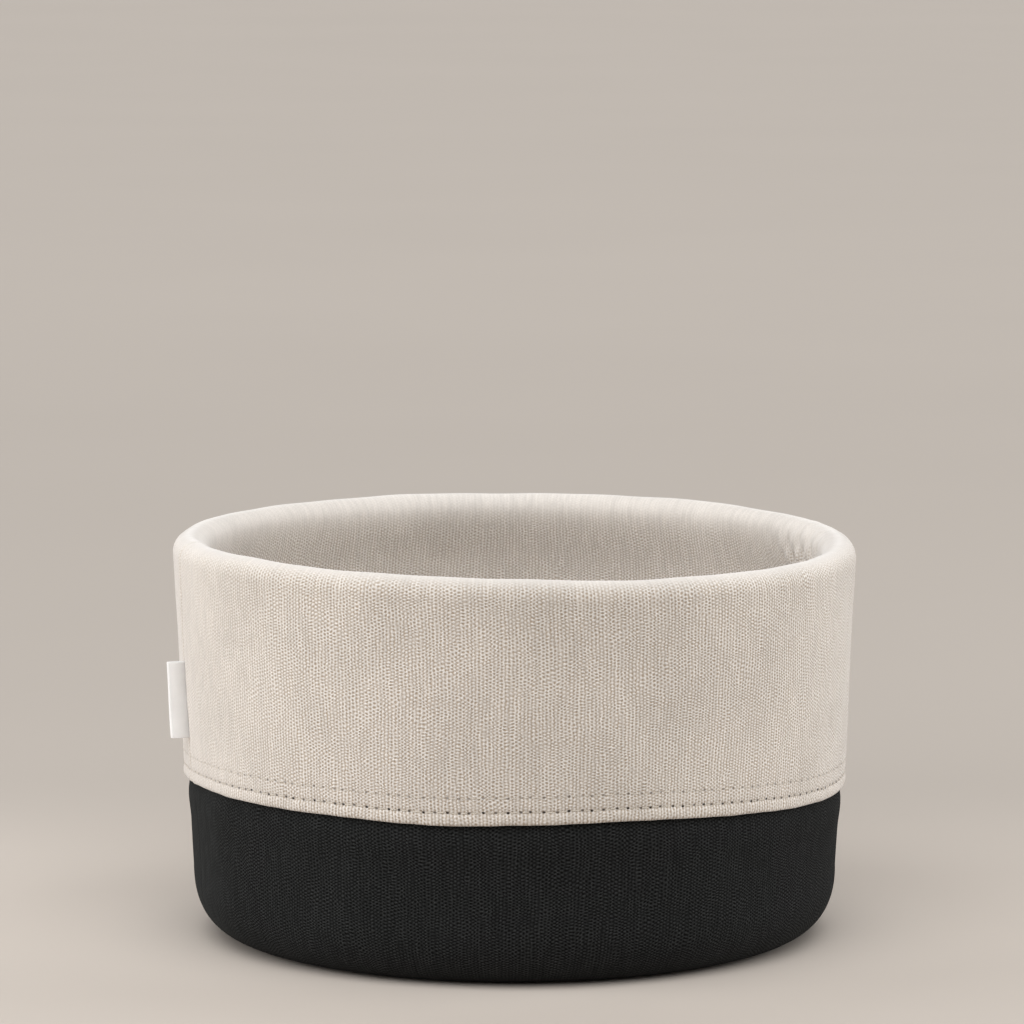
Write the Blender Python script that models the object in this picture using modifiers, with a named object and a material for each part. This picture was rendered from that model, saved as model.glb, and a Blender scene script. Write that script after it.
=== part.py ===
"""A round bread bag of two canvas layers, with its top folded down outside as a cuff.

The bag stands on the XY plane, centred on the Z axis, with its front towards -Y. The black shell and the
sand-coloured lining follow one section line: out from the base seam along the floor, round the soft bottom
corner, up the wall, over the hollow rim and down again as the cuff. The lining lies one layer to the left of
that line all the way, so it is inside the bag below the rim and outside it on the cuff.
"""

import math

import bmesh
import bpy
import numpy as np

MM = 0.001

# Cloth
CLOTH_THICKNESS = 1.0 * MM
LAYER_GAP = 0.3 * MM
LAYER_PITCH = CLOTH_THICKNESS + LAYER_GAP
SEGMENTS_AROUND = 56
MERGE_DISTANCE = 0.01 * MM

# Bottom: the flat part that rests, and the soft corner that rises from it
BASE_SEAM_RADIUS = 84.3 * MM
FLAT_RADIUS = 88.4 * MM
CORNER_RADIUS = 108.76 * MM
CORNER_HEIGHT = 23.1 * MM
CORNER_POWER = 2.45
CORNER_STEPS = 7

# Cuff: its outer face is a straight flare from the hem up to the widest part of the rim
HEM_HEIGHT = 54.35 * MM
HEM_RADIUS = 111.79 * MM
RIM_RADIUS = 115.0 * MM
RIM_TOP = 134.45 * MM
ROLL_RADIUS = 5.66 * MM
ROLL_STEPS = 7
ROLL_CENTRE_HEIGHT = RIM_TOP - ROLL_RADIUS
CUFF_STEPS = 3
HEM_ALLOWANCE = 6.6 * MM
HEM_FOLD_STEPS = 4
SHELL_END_ABOVE_HEM = 7.2 * MM

# Wall: the shell's outer face above the corner, drawn in a little where the cuff presses on it.
# The steps count the straight pieces from the row before.
WALL_ROWS = (
    # height_mm, radius_mm, steps
    (38.7, 109.55, 1),
    (51.0, 110.20, 1),
    (55.6, 109.05, 2),
    (61.6, 109.10, 1),
    (84.0, 110.40, 1),
    (106.0, 110.95, 1),
    (114.0, 109.60, 1),
    (121.5, 107.35, 1),
)
RIM_ENTRY_STEPS = 2

# How far the hem and the rim stand above (+) or below (-) their mean height, counted anticlockwise from +X
HEM_LIFT_ROWS = (
    # angle_deg, lift_mm
    (0.0, -3.2),
    (30.0, -2.0),
    (60.0, -0.6),
    (90.0, 0.6),
    (120.0, 0.9),
    (150.0, 0.3),
    (180.0, -0.2),
    (205.0, 0.7),
    (225.0, 0.95),
    (243.0, 0.8),
    (255.0, 0.2),
    (275.0, 0.8),
    (292.0, 0.95),
    (304.0, -0.1),
    (316.0, -1.2),
    (329.0, -2.6),
    (343.0, -3.3),
)
RIM_LIFT_ROWS = (
    # angle_deg, lift_mm
    (0.0, -1.3),
    (28.0, -0.4),
    (60.0, 0.1),
    (90.0, 0.2),
    (120.0, 0.6),
    (154.0, 0.95),
    (175.0, 0.9),
    (200.0, 1.3),
    (228.0, 1.4),
    (255.0, 0.7),
    (271.0, 0.0),
    (292.0, -1.0),
    (309.0, -1.4),
    (331.0, -1.95),
    (345.0, -1.7),
)
LIFT_STARTS = CORNER_HEIGHT
HEM_LIFT_FULL = HEM_HEIGHT - 6.0 * MM
RIM_LIFT_STARTS = HEM_HEIGHT + 14.0 * MM
RIM_LIFT_FULL = 104.0 * MM

# Out of round: soft waves of the wall, which grow from the corner to the rim
ROUND_WAVES = (
    # waves, size_mm
    (2, 0.45),
    (3, -0.35),
    (5, 0.15),
)

# Label: a tape folded once, its two ends sewn into the side seam
LABEL_ANGLE = math.radians(195.0)
LABEL_LOW = 68.6 * MM
LABEL_HIGH = 94.6 * MM
LABEL_REACH = 6.1 * MM
LABEL_THICKNESS = 0.5 * MM
LABEL_HALF_SPREAD = 0.4 * MM
LABEL_FOLD_STEPS = 4

# Colours (linear) and finish
BLACK = (0.021, 0.021, 0.020, 1.0)
SAND = (0.570, 0.510, 0.440, 1.0)
WHITE = (0.840, 0.830, 0.810, 1.0)
CLOTH_ROUGHNESS = 0.9


def cuff_face_radius(height):
    """Radius of the cuff's outer face at a height, a straight flare from the hem to the rim."""
    share = (height - HEM_HEIGHT) / (ROLL_CENTRE_HEIGHT - HEM_HEIGHT)
    return HEM_RADIUS + (RIM_RADIUS - HEM_RADIUS) * share


def arc(centre, radius, start, end, steps):
    """Points of a circular arc in the (radius, height) plane, both ends included; angles in radians."""
    angles = np.linspace(start, end, steps + 1)
    return np.column_stack((centre[0] + radius * np.cos(angles), centre[1] + radius * np.sin(angles)))


def corner_points():
    """The bottom corner's middle line: a quarter of a superellipse from the floor up to the wall."""
    inset = CLOTH_THICKNESS / 2
    width = CORNER_RADIUS - FLAT_RADIUS
    turn = np.linspace(-math.pi / 2, 0.0, CORNER_STEPS + 1)
    radius = FLAT_RADIUS + (width - inset) * np.abs(np.cos(turn)) ** (2 / CORNER_POWER)
    height = CORNER_HEIGHT - (CORNER_HEIGHT - inset) * np.abs(np.sin(turn)) ** (2 / CORNER_POWER)
    return np.column_stack((radius, height))


def hermite_spans(places, values, slopes, steps):
    """Points of a smooth curve through the rows, as values over places, with so many steps in each span."""
    found = []
    for row, count in enumerate(steps):
        span = places[row + 1] - places[row]
        for step in range(1, count + 1):
            t = step / count
            value = ((2 * t**3 - 3 * t**2 + 1) * values[row] + (t**3 - 2 * t**2 + t) * span * slopes[row]
                     + (3 * t**2 - 2 * t**3) * values[row + 1] + (t**3 - t**2) * span * slopes[row + 1])
            found.append((value, places[row] + t * span))
    return np.array(found)


def wall_points(roll_inner_radius):
    """The wall's middle line from the corner's top to the roll's inner side, smooth through WALL_ROWS."""
    inset = CLOTH_THICKNESS / 2
    heights = [CORNER_HEIGHT] + [height * MM for height, _, _ in WALL_ROWS] + [ROLL_CENTRE_HEIGHT]
    radii = [CORNER_RADIUS - inset] + [radius * MM - inset for _, radius, _ in WALL_ROWS]
    radii.append(roll_inner_radius)
    steps = [steps for _, _, steps in WALL_ROWS] + [RIM_ENTRY_STEPS]
    slopes = np.gradient(np.array(radii), np.array(heights))
    slopes[-1] = 0.0
    return hermite_spans(heights, radii, slopes, steps)


def section_line():
    """The shell's middle line as (radius, height) rows, from the base seam to its end inside the cuff."""
    middle = CLOTH_THICKNESS / 2
    roll = ROLL_RADIUS - middle - LAYER_PITCH
    roll_centre = (RIM_RADIUS - ROLL_RADIUS, ROLL_CENTRE_HEIGHT)
    floor = np.array([(BASE_SEAM_RADIUS, middle)])
    wall = wall_points(roll_centre[0] - roll)
    over = arc(roll_centre, roll, math.pi, 0.0, ROLL_STEPS)[1:]
    heights = np.linspace(ROLL_CENTRE_HEIGHT, HEM_HEIGHT + SHELL_END_ABOVE_HEM, CUFF_STEPS + 1)[1:]
    cuff = np.column_stack((cuff_face_radius(heights) - middle - LAYER_PITCH, heights))
    return np.vstack((floor, corner_points(), wall, over, cuff))


def offset_left(line, distance):
    """The line moved to its left by a distance, with mitred bends so that each piece stays parallel."""
    pieces = np.diff(line, axis=0)
    pieces /= np.linalg.norm(pieces, axis=1)[:, None]
    normals = np.column_stack((-pieces[:, 1], pieces[:, 0]))
    before = np.vstack((normals[:1], normals))
    after = np.vstack((normals, normals[-1:]))
    bisector = before + after
    bisector *= 2 / np.sum(bisector**2, axis=1)[:, None]
    return line + distance * bisector


def lining_line():
    """The lining's middle line: beside the shell's to the cuff, then down to the hem and turned under."""
    beside = offset_left(section_line(), LAYER_PITCH)
    fold = LAYER_PITCH / 2
    face = HEM_RADIUS - CLOTH_THICKNESS / 2
    centre = (face - fold, HEM_HEIGHT + CLOTH_THICKNESS / 2 + fold)
    turn = arc(centre, fold, 0.0, -math.pi, HEM_FOLD_STEPS)
    under = np.array([(face - LAYER_PITCH, HEM_HEIGHT + HEM_ALLOWANCE)])
    return np.vstack((beside, turn, under))


def smooth_step(low, high, value):
    """0 below low, 1 above high, with a smooth change between them."""
    t = np.clip((value - low) / (high - low), 0.0, 1.0)
    return t * t * (3 - 2 * t)


def around(rows, angle):
    """Value at an angle, smooth and closed through (angle_deg, value_mm) rows, in metres."""
    angles = np.radians([row[0] for row in rows])
    values = np.array([row[1] for row in rows]) * MM
    angles = np.concatenate((angles[-2:] - math.tau, angles, angles[:2] + math.tau))
    values = np.concatenate((values[-2:], values, values[:2]))
    slopes = np.gradient(values, angles)
    angle = np.mod(angle, math.tau)
    row = np.searchsorted(angles, angle, side="right") - 1
    span = angles[row + 1] - angles[row]
    t = (angle - angles[row]) / span
    return ((2 * t**3 - 3 * t**2 + 1) * values[row] + (t**3 - 2 * t**2 + t) * span * slopes[row]
            + (3 * t**2 - 2 * t**3) * values[row + 1] + (t**3 - t**2) * span * slopes[row + 1])


def unevenness(angle, height):
    """How far the cloth at an angle and height moves outward and upward, in metres."""
    hem = around(HEM_LIFT_ROWS, angle)
    rim = around(RIM_LIFT_ROWS, angle)
    up = smooth_step(LIFT_STARTS, HEM_LIFT_FULL, height)
    up = up * (hem + (rim - hem) * smooth_step(RIM_LIFT_STARTS, RIM_LIFT_FULL, height))
    out = sum(size * MM * np.sin(waves * angle) for waves, size in ROUND_WAVES)
    return out * smooth_step(0.0, RIM_TOP, height), up


def new_object(name, mesh, collection, material):
    """Link a mesh as an object of its own, with its material."""
    piece = bpy.data.objects.new(name, mesh)
    collection.objects.link(piece)
    piece.data.materials.clear()
    piece.data.materials.append(material)
    return piece


def turned_cloth(name, line, collection, material):
    """Turn a section line round the Z axis, make the sheet uneven and give it its thickness."""
    profile = bpy.data.meshes.new(name + "_section")
    points = [(radius, 0.0, height) for radius, height in line]
    profile.from_pydata(points, [(i, i + 1) for i in range(len(points) - 1)], [])
    turned = new_object(name + "_turned", profile, collection, material)
    screw = turned.modifiers.new("turn", "SCREW")
    screw.axis = "Z"
    screw.angle = math.tau
    screw.steps = SEGMENTS_AROUND
    screw.render_steps = SEGMENTS_AROUND
    screw.use_merge_vertices = True
    screw.merge_threshold = MERGE_DISTANCE
    bpy.context.view_layer.update()
    sheet = bpy.data.meshes.new_from_object(turned.evaluated_get(bpy.context.evaluated_depsgraph_get()))
    bpy.data.objects.remove(turned)
    bpy.data.meshes.remove(profile)

    flat = np.empty(len(sheet.vertices) * 3)
    sheet.vertices.foreach_get("co", flat)
    place = flat.reshape(-1, 3)
    angle = np.arctan2(place[:, 1], place[:, 0])
    out, up = unevenness(angle, place[:, 2])
    place += np.column_stack((out * np.cos(angle), out * np.sin(angle), up))
    sheet.vertices.foreach_set("co", place.ravel())
    sheet.name = name
    sheet.shade_smooth()

    piece = new_object(name, sheet, collection, material)
    thickness = piece.modifiers.new("cloth_thickness", "SOLIDIFY")
    thickness.thickness = CLOTH_THICKNESS
    thickness.offset = 0.0
    thickness.use_even_offset = True
    return piece


def base_disc(name, underside, collection, material):
    """A flat round base, a gap inside the edge of the wall that is sewn to it."""
    bpy.ops.mesh.primitive_cylinder_add(
        vertices=SEGMENTS_AROUND, radius=BASE_SEAM_RADIUS - LAYER_GAP, depth=CLOTH_THICKNESS,
        location=(0.0, 0.0, underside + CLOTH_THICKNESS / 2))
    made = bpy.context.object
    place = made.matrix_world.copy()
    piece = new_object(name, made.data, collection, material)
    piece.data.name = name
    piece.matrix_world = place
    bpy.data.objects.remove(made)
    return piece


def side_label(name, collection, material):
    """A tape folded once, standing out from the cuff at the side seam and leaning with the cuff's flare."""
    root = LAYER_GAP
    fold_centre = (LABEL_REACH - LABEL_HALF_SPREAD - LABEL_THICKNESS / 2, 0.0)
    fold = arc(fold_centre, LABEL_HALF_SPREAD, math.pi / 2, -math.pi / 2, LABEL_FOLD_STEPS)
    plan = np.vstack(([(root, LABEL_HALF_SPREAD)], fold, [(root, -LABEL_HALF_SPREAD)]))

    shape = bmesh.new()
    out, up = unevenness(np.array([LABEL_ANGLE]), np.array([(LABEL_LOW + LABEL_HIGH) / 2]))
    across = (math.cos(LABEL_ANGLE), math.sin(LABEL_ANGLE))
    rows = []
    for height in (LABEL_LOW, LABEL_HIGH):
        wall = cuff_face_radius(height) + out[0]
        rows.append([
            shape.verts.new(((wall + reach) * across[0] - side * across[1],
                             (wall + reach) * across[1] + side * across[0], height + up[0]))
            for reach, side in plan])
    for i in range(len(plan) - 1):
        shape.faces.new((rows[0][i], rows[0][i + 1], rows[1][i + 1], rows[1][i]))
    mesh = bpy.data.meshes.new(name)
    shape.to_mesh(mesh)
    shape.free()
    mesh.shade_smooth()
    piece = new_object(name, mesh, collection, material)
    thickness = piece.modifiers.new("tape_thickness", "SOLIDIFY")
    thickness.thickness = LABEL_THICKNESS
    thickness.offset = 0.0
    thickness.use_even_offset = True
    return piece


def cloth_material(name, colour):
    """A plain rough cloth of one colour."""
    material = bpy.data.materials.new(name)
    material.use_nodes = True
    shader = material.node_tree.nodes["Principled BSDF"]
    shader.inputs["Base Color"].default_value = colour
    shader.inputs["Roughness"].default_value = CLOTH_ROUGHNESS
    shader.inputs["Metallic"].default_value = 0.0
    material.diffuse_color = colour
    return material


def main():
    for item in list(bpy.data.objects):
        bpy.data.objects.remove(item)
    bag = bpy.data.collections.new("linen_bread_bag")
    bpy.context.scene.collection.children.link(bag)

    lining_underside = LAYER_PITCH
    turned_cloth("shell_wall", section_line(), bag, cloth_material("shell_wall_black", BLACK))
    base_disc("shell_base", 0.0, bag, cloth_material("shell_base_black", BLACK))
    turned_cloth("lining_wall", lining_line(), bag, cloth_material("lining_wall_sand", SAND))
    base_disc("lining_base", lining_underside, bag, cloth_material("lining_base_sand", SAND))
    side_label("side_label", bag, cloth_material("side_label_white", WHITE))


main()
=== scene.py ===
"""Dresses a round bread bag of two canvas layers: woven cloths, round bases, hem stitches and a side tape.

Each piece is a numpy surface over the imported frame, in metres, with Z up and the front towards -Y. Run as a
script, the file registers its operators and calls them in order.
"""

import math

import bpy
import numpy as np
from bpy.props import FloatProperty, FloatVectorProperty, IntProperty, PointerProperty
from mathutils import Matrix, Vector


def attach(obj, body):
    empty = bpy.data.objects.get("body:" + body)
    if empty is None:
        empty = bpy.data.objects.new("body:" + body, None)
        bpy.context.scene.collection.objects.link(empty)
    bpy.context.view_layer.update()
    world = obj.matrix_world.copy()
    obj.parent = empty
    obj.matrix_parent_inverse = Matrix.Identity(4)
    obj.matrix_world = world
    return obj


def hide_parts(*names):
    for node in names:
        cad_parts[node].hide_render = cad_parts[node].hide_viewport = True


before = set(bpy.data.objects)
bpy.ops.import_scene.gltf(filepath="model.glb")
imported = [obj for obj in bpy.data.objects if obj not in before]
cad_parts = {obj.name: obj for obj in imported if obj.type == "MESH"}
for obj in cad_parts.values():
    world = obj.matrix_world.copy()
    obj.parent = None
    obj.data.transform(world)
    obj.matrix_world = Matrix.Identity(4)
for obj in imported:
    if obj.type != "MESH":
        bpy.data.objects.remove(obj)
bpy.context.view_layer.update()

bl_info = {
    "name": "Round Bread Bag",
    "version": (1, 0, 0),
    "blender": (4, 5, 0),
    "location": "View3D > Sidebar > Bread Bag",
    "description": "Woven cloths, bases, hem stitches, side tape and stage of a round lined bread bag",
    "category": "Object",
}

MM = 0.001
BODY = "root"

# The section line of the two cloths, as in the CAD
HALF_CLOTH = 0.5 * MM
LAYER_PITCH = 1.3 * MM
BASE_SEAM_RADIUS = 84.3 * MM
BASE_GAP = 0.03 * MM
FLAT_RADIUS = 88.4 * MM
CORNER_RADIUS = 108.76 * MM
CORNER_HEIGHT = 23.1 * MM
CORNER_POWER = 2.45
HEM_HEIGHT = 54.35 * MM
HEM_RADIUS = 111.79 * MM
RIM_RADIUS = 115.0 * MM
RIM_TOP = 134.45 * MM
ROLL_RADIUS = 5.66 * MM
ROLL_CENTRE_HEIGHT = RIM_TOP - ROLL_RADIUS
HEM_ALLOWANCE = 6.6 * MM
SHELL_END_ABOVE_HEM = 7.2 * MM
FOLD_POWER = 3.0
LINE_SPACING = 0.1 * MM
# Height and radius of the shell's outer face, in mm
WALL_ROWS = ((38.7, 109.55), (51.0, 110.20), (55.6, 109.05), (61.6, 109.10), (84.0, 110.40), (106.0, 110.95),
             (114.0, 109.60), (121.5, 107.35))

# How far the hem and the rim stand above their mean height: degrees anticlockwise from +X, and mm
HEM_LIFT_ROWS = ((0, -3.2), (30, -2.0), (60, -0.6), (90, 0.6), (120, 0.9), (150, 0.3), (180, -0.2),
                 (205, 0.7), (225, 0.95), (243, 0.8), (255, 0.2), (275, 0.8), (292, 0.95), (304, -0.1),
                 (316, -1.2), (329, -2.6), (343, -3.3))
RIM_LIFT_ROWS = ((0, -1.3), (28, -0.4), (60, 0.1), (90, 0.2), (120, 0.6), (154, 0.95), (175, 0.9),
                 (200, 1.3), (228, 1.4), (255, 0.7), (271, 0.0), (292, -1.0), (309, -1.4), (331, -1.95),
                 (345, -1.7))
HEM_LIFT_FULL = HEM_HEIGHT - 6.0 * MM
RIM_LIFT_STARTS = HEM_HEIGHT + 14.0 * MM
RIM_LIFT_FULL = 104.0 * MM

# Waves round the bag: how many, size in mm and phase. Dents also slant, by radians for each mm of height
ROUND_WAVES = ((2, 0.45, 0.0), (3, -0.35, 0.0), (5, 0.15, 0.0))
ROLL_WAVES = ((7, 0.12, 0.7), (13, 0.10, 2.0), (27, 0.06, 5.1))
HEM_WAVES = ((23, 0.045, 0.4), (41, 0.035, 2.9), (67, 0.030, 1.1))
DENT_WAVES = ((6, 0.16, 0.045, 1.3), (11, 0.13, -0.06, 0.5), (17, 0.07, 0.11, 2.1), (29, 0.04, -0.16, 4.0))
# Heights, or lengths up from the hem's fold, between which they set in or die out
DENTS_SET_IN = (8 * MM, 30 * MM)
ROLL_SETS_IN = (112 * MM, 125 * MM)
HEM_WAVES_DIE = (1 * MM, 14 * MM)

# Side seam: its groove, and the swells of the allowance behind it as a share of the groove's depth
SEAM_ANGLE = math.radians(195.0)
LINING_SEAM_DEPTH = 0.36 * MM
SHELL_SEAM_DEPTH = 0.12 * MM
SEAM_GROOVE = 0.6 * MM
SWELL_SHARE, SWELL_PLACE, SWELL_WIDTH = 0.4, 3.2 * MM, 2.0 * MM
SHELL_SEAM_STARTS = (2 * MM, 20 * MM)
# How far from the middle line a face counts as the back and as the good side
GOOD_SIDE = (-0.2 * MM, 0.4 * MM)
# The map of a wall starts and ends at the side seam
MAP_RADIUS = 111.8 * MM
MAP_LENGTH = math.tau * MAP_RADIUS

# Hem
STITCH_ROWS = (
    # length up from the hem's fold, groove depth, thread size, hole strength, strength of the crease's
    # painted shade
    (4.4 * MM, 0.32 * MM, 1.0, 1.0, 0.42),
    (9.2 * MM, 0.08 * MM, 0.7, 0.5, 0.10),
)
STITCH_GROOVE = 0.75 * MM
STITCH_WAVE = 0.15 * MM
STITCH_DIP = 0.30 * MM
# Pitch of the thread's twist, along a stitch and round the thread
TWIST_PITCH = (0.55 * MM, 0.6 * MM)
PUFF_RISES, PUFF_FALLS = (0.2 * MM, 1.6 * MM), (2.6 * MM, 4.2 * MM)
PUFF_DEPTH, PUFF_WAVES = 0.16 * MM, 2.2
# The weave is more ridged up to the first length, by these shares, and as usual from the second
HEM_WEAVE = (4 * MM, 8 * MM)
HEM_SHARES = {"Ridges": 1.15, "Bumps": 0.65}

# Creases inside on the right: middle and reach round and up, mean depth, then depth, spacing and way of each
CRUMPLE_TURN, CRUMPLE_REACH = math.radians(15.0), math.radians(12.0)
CRUMPLE_PLACE, CRUMPLE_RISE = 102 * MM, 12 * MM
CRUMPLE_DEPTH = 1.9 * MM
CRUMPLE_SLANT = (0.75, 0.66)
CRUMPLE_FOLDS = ((1.3 * MM, 9 * MM, 1), (0.6 * MM, 6 * MM, -1))

# Lengths up from the hem's fold where the weave is pulled smooth over the rim and paler there as a painted
# highlight, and where it is back inside
RIM_STARTS = 76.2 * MM
RIM_FACES_UP = 81.2 * MM
RIM_ENDS = 88.0 * MM
INSIDE = 99.0 * MM
RIM_KEPT, INSIDE_KEPT, RIM_PITS = 0.12, 0.65, 0.20

# Distance from the side seam where the weave is flattest and palest, the share made flat and where that ends:
# partly pressed cloth, partly a painted highlight
SEAM_PRESS_AND_HIGHLIGHT = 8.0 * MM
CUFF_PRESS_AND_HIGHLIGHT, PLAIN_PRESS_AND_HIGHLIGHT, PRESS_AND_HIGHLIGHT_PITS = (0.55, 80 * MM), (0.7, 36 * MM), 0.28
PRESS_AND_HIGHLIGHT_HOLES = (0.6, 60 * MM)

# Side tape
TAPE_LOW = 69.4 * MM
TAPE_HIGH = 95.2 * MM
TAPE_REACH = 6.1 * MM
TAPE_HALF = 0.2 * MM
TAPE_SPREAD = 0.42 * MM
TAPE_ROOT = -0.45 * MM
TAPE_FLAT = 13.5 * MM
TAPE_BELLY, TAPE_TWIST, TAPE_WAVE = 0.6 * MM, 0.45 * MM, 0.10 * MM

# Rows along a cloth's good side and its back: the first spacing, then each zone's start and spacing
SHELL_GOOD_ROWS = (6 * MM, (60 * MM, 1.6 * MM), (84 * MM, 4 * MM), (146 * MM, 2 * MM), (184 * MM, 1.2 * MM),
                   (212 * MM, 1.5 * MM))
SHELL_BACK_ROWS = (12 * MM, (60 * MM, 2.4 * MM), (84 * MM, 9 * MM), (184 * MM, 3 * MM))
SHELL_COLUMNS = 460
LINING_GOOD_ROWS = (1.8 * MM, (-1.2 * MM, 0.35 * MM), (1.6 * MM, 0.6 * MM), (13 * MM, 2.1 * MM),
                    (66 * MM, 1.25 * MM), (100 * MM, 3.6 * MM))
LINING_BACK_ROWS = (5 * MM, (-1.2 * MM, 0.5 * MM), (1.2 * MM, 8 * MM), (70 * MM, 2.2 * MM),
                    (98 * MM, 10 * MM))
LINING_COLUMNS = 610
# Distances in mm of the columns closest to the side seam
SEAM_COLUMNS = (0.15, 0.3, 0.5, 0.75, 1.0, 1.4, 1.8, 2.4, 3.0)
DISC_COLUMNS, DISC_ROWS, DISC_WAVES = 180, 26, 0.25 * MM
STITCH_RINGS, STITCH_SIDES = 7, 6
SURFACE_STEP = 0.05 * MM

# Each canvas: its weave, how far pits (partly painted shade) and tone change its colour, the tint of its
# sheen, and its gloss
CANVAS_LOOKS = {
    "lining": ({"Ridges": 0.25, "Bumps": 0.41, "Deep": -0.1, "Full": 1.0}, 0.72, 0.06,
               (1.0, 0.99, 0.98, 1.0), 0.25),
    "shell": ({"Ridges": 0.17, "Bumps": 0.52, "Deep": -0.1, "Full": 1.2}, 1.0, 0.20,
              (0.6, 0.64, 0.66, 1.0), 0.06),
}
PATCH_SHADE, FIBRE_SHADE = 0.07, 0.25
# The weave's noises as (how many to a metre, size): how far its place strays, and how its bumps drift
STRAY_NOISES = ((15.0, 4.0), (62.0, 1.0), (420.0, 0.9))
DRIFT_NOISE = (125.0, 11.0)

# The camera, read from the photograph's outline: metres, radians and the lens for a 36 mm sensor
CAMERA_PLACE = (-0.0009, -2.0, 0.4026)
CAMERA_TURN = (math.pi / 2 - 0.1295, 0.0, 0.0)
CAMERA_LENS = 210.22
CAMERA_SENSOR = 36.0
CAMERA_CLIP = (0.05, 200.0)

# Stage: places where painted light and shade change the floor's tone round the bag, from left to right, and
# behind it
FLOOR_HALF = 30.0
FLOOR_ROUND, FLOOR_ACROSS, FLOOR_LEFT = (0.10, 0.17), (-0.12, 0.20), 1.01
FLOOR_BESIDE, FLOOR_BEHIND, FLOOR_FAR = (0.1, 0.6), (0.04, 0.30), (0.4, 2.6)
LIT_SPOT = (0.0, 0.0, 0.06)
SOFT_BOXES = (
    # name, place, size, power in watts
    ("left_box", (-1.6, -0.1, 0.4), 0.8, 13.7),
    ("right_box", (1.575, 0.28, 0.4), 0.8, 12.6),
)
FAR_LIGHTS = (
    # name, way towards the light, width in degrees, strength
    ("high_light", (0.0, -0.7, 1.0), 70.0, 2.54),
    ("back_light", (0.0, 1.0, 0.8), 70.0, 0.79),
)


# ---- Settings


def length_setting(name, description, default):
    """A length in metres that a user may change."""
    return FloatProperty(name=name, description=description, default=default, min=0.0, precision=5,
                         unit="LENGTH", subtype="DISTANCE")


def share_setting(name, description, default, most=1.0):
    """A plain share or strength that a user may change."""
    return FloatProperty(name=name, description=description, default=default, min=0.0, max=most)


def colour_setting(name, description, default):
    """A linear colour that a user may change."""
    return FloatVectorProperty(name=name, description=description, default=default, size=4, min=0.0, max=1.0,
                               subtype="COLOR")


class BagClothSettings(bpy.types.PropertyGroup):
    """The canvas: its threads and its two colours."""

    column_pitch: length_setting("Column pitch", "Between threads that run down the wall", 1.20 * MM)
    row_pitch: length_setting("Row pitch", "Distance between threads that run round the wall", 0.565 * MM)
    weave_depth: length_setting("Weave depth", "How deep the pits between threads look", 0.20 * MM)
    wander: length_setting("Wander", "How far threads stray from their straight line", 0.55 * MM)
    unevenness: share_setting("Unevenness", "How much threads differ in thickness and tone", 0.8)
    lining_sheen: share_setting("Lining sheen", "Light that loose fibres of the lining catch", 0.6)
    shell_sheen: share_setting("Shell sheen", "Light that loose fibres of the shell catch", 0.0)
    lining_colour: colour_setting("Lining", "Threads of the lining's canvas", (0.765, 0.729, 0.690, 1.0))
    # Pit colours: partly the gaps' own darker colour, partly painted shade in the gaps between threads
    lining_pit_colour: colour_setting("Lining pits", "Gaps of the sand-coloured canvas",
                                      (0.235, 0.142, 0.053, 1.0))
    shell_colour: colour_setting("Shell", "Threads of the black canvas", (0.0306, 0.0322, 0.0325, 1.0))
    shell_pit_colour: colour_setting("Shell pits", "Gaps of the black canvas", (0.0036, 0.0036, 0.0035, 1.0))


class BagSewingSettings(bpy.types.PropertyGroup):
    """The stitches along the hem."""

    stitches: IntProperty(name="Stitches", description="Stitches in one row", default=178, min=24, max=400)
    thread_radius: length_setting("Thread radius", "Half the thickness of the sewing thread", 0.2 * MM)
    hole_size: length_setting("Hole size", "Radius of a needle hole", 0.64 * MM)
    hole_stray: share_setting("Hole stray", "How far holes stray, as a share of a stitch", 0.17)
    thread_colour: colour_setting("Thread", "Cotton sewing thread", (0.66, 0.60, 0.52, 1.0))
    hole_colour: colour_setting("Hole", "Shade inside a needle hole", (0.028, 0.019, 0.012, 1.0))
    # Painted shade along the groove that the thread pulls in
    crease_shade_colour: colour_setting("Crease", "Line that the thread pulls in", (0.22, 0.165, 0.11, 1.0))


class BagTapeSettings(bpy.types.PropertyGroup):
    """The bare tape in the side seam."""

    tape_colour: colour_setting("Tape", "White woven tape", (0.94, 0.935, 0.93, 1.0))
    # Pit colour: partly the gaps' own colour, partly painted shade in them
    tape_pit_colour: colour_setting("Tape pits", "Gaps of the white tape", (0.62, 0.61, 0.60, 1.0))
    rib_pitch: length_setting("Rib pitch", "Distance between the tape's fine threads", 0.26 * MM)


class BagStageSettings(bpy.types.PropertyGroup):
    """The floor and the light."""

    floor_colour: colour_setting("Floor", "Pale matt floor", (0.521, 0.469, 0.420, 1.0))
    # Painted shade behind the bag and on its right, and painted light close round it
    mid_floor: share_setting("Middle floor", "Brightness of the floor just behind the bag", 0.80)
    far_floor: share_setting("Far floor", "Brightness of the floor far behind the bag", 0.925, 2.0)
    close_floor: share_setting("Close floor", "Brightness of the floor close round the bag", 1.10, 2.0)
    right_floor: share_setting("Right floor", "Brightness of the floor on the bag's right", 0.935, 2.0)
    sky_colour: colour_setting("Surround", "Even light from all round", (1.0, 1.0, 1.0, 1.0))
    sky_strength: share_setting("Surround strength", "Strength of the even light", 0.25, 10.0)
    light_strength: share_setting("Light strength", "Strength of all soft boxes together", 1.0, 10.0)


def settings(name):
    """One group of settings of the scene."""
    return getattr(bpy.context.scene, name)


# ---- Shapes


def smooth_step(low, high, value):
    """0 below low, 1 above high, with the cubic 3t^2 - 2t^3 between them."""
    t = np.clip((value - low) / (high - low), 0.0, 1.0)
    return t * t * (3 - 2 * t)


def bell(value, width):
    """1 at 0, falling as exp(-(value / width)^2)."""
    return np.exp(-(value / width) ** 2)


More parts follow.
